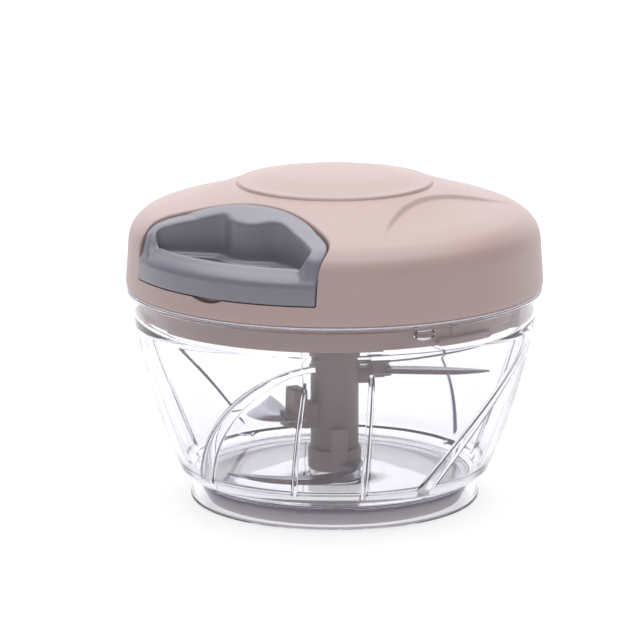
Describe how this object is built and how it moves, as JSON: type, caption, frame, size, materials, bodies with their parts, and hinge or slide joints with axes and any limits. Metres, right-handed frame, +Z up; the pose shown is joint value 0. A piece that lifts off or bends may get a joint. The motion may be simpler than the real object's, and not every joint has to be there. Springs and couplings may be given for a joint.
{
  "type": "garlic chopper",
  "caption": "Hand pulled garlic and vegetable chopper: clear ribbed bowl, bladed rotor on a centre pin, and a domed twist-lock lid whose cord reel handle spins the blades.",
  "frame": {"origin": "on the bowl's axis, at the surface that the foot ring stands on", "axes": "+Z up along the bowl's axis, -Y towards the pull handle's face, +X to the right of someone facing the handle"},
  "size_m": [0.125, 0.1247, 0.1],
  "materials": {
    "clear_bowl": "clear polished polycarbonate",
    "foot_ring": "soft grey silicone",
    "seal": "white silicone",
    "lid_shell": "fine satin taupe moulding",
    "lid_inner": "satin taupe moulding",
    "acetal": "natural low friction moulding",
    "steel": "bright drawn stainless steel",
    "spring_steel": "tempered strip steel",
    "handle_grip": "satin blue grey moulding",
    "cord": "braided nylon cord",
    "rotor_plastic": "satin taupe brown moulding",
    "blade_steel": "ground stainless steel"
  },
  "bodies": {
    "bowl": {"bowl": "clear_bowl", "anti_slip_ring": "foot_ring"},
    "seal": {"lid_seal": "seal"},
    "lid": {"lid_cover": "lid_shell", "lid_base": "lid_inner", "cord_eyelet": "acetal", "reel_axle": "steel", "spring_arbor": "acetal", "drive_bush": "acetal", "thrust_washer": "steel", "housing_screw_1": "steel", "housing_screw_2": "steel", "housing_screw_3": "steel", "housing_screw_4": "steel"},
    "handle": {"pull_handle": "handle_grip", "cord_lead": "cord", "cord_knot": "cord"},
    "reel": {"cord_reel": "acetal", "spring_cover": "steel", "recoil_spring": "spring_steel", "pull_cord_wound": "cord"},
    "rotor": {"rotor_column": "rotor_plastic", "rotor_foot": "rotor_plastic", "blade_upper": "blade_steel", "blade_middle": "blade_steel", "blade_lower": "blade_steel"}
  },
  "joints": [
    {"name": "lid_lift", "type": "slide", "parent": "bowl", "child": "seal", "axis": [0, 0, 1], "range_m": [0, 0.08]},
    {"name": "lid_turn", "type": "hinge", "parent": "seal", "child": "lid", "pos_m": [0, 0, 0.065], "axis": [0, 0, 1], "range_deg": [-16, 0]},
    {"name": "handle_pull", "type": "slide", "parent": "lid", "child": "handle", "axis": [0, -1, 0], "range_m": [0, 0.5], "stiffness_N_per_m": 4, "springref_m": -0.3, "deforming": ["cord_lead"]},
    {"name": "reel_spin", "type": "hinge", "parent": "lid", "child": "reel", "pos_m": [0, 0, 0.075], "axis": [0, 0, 1], "continuous": true, "deforming": ["recoil_spring"]},
    {"name": "rotor_spin", "type": "hinge", "parent": "bowl", "child": "rotor", "pos_m": [0, 0, 0.03], "axis": [0, 0, 1], "continuous": true}
  ],
  "couplings": [
    {"joint": "reel_spin", "follows": "handle_pull", "rad_per_m": 47.506},
    {"joint": "rotor_spin", "follows": "handle_pull", "rad_per_m": 47.506}
  ]
}
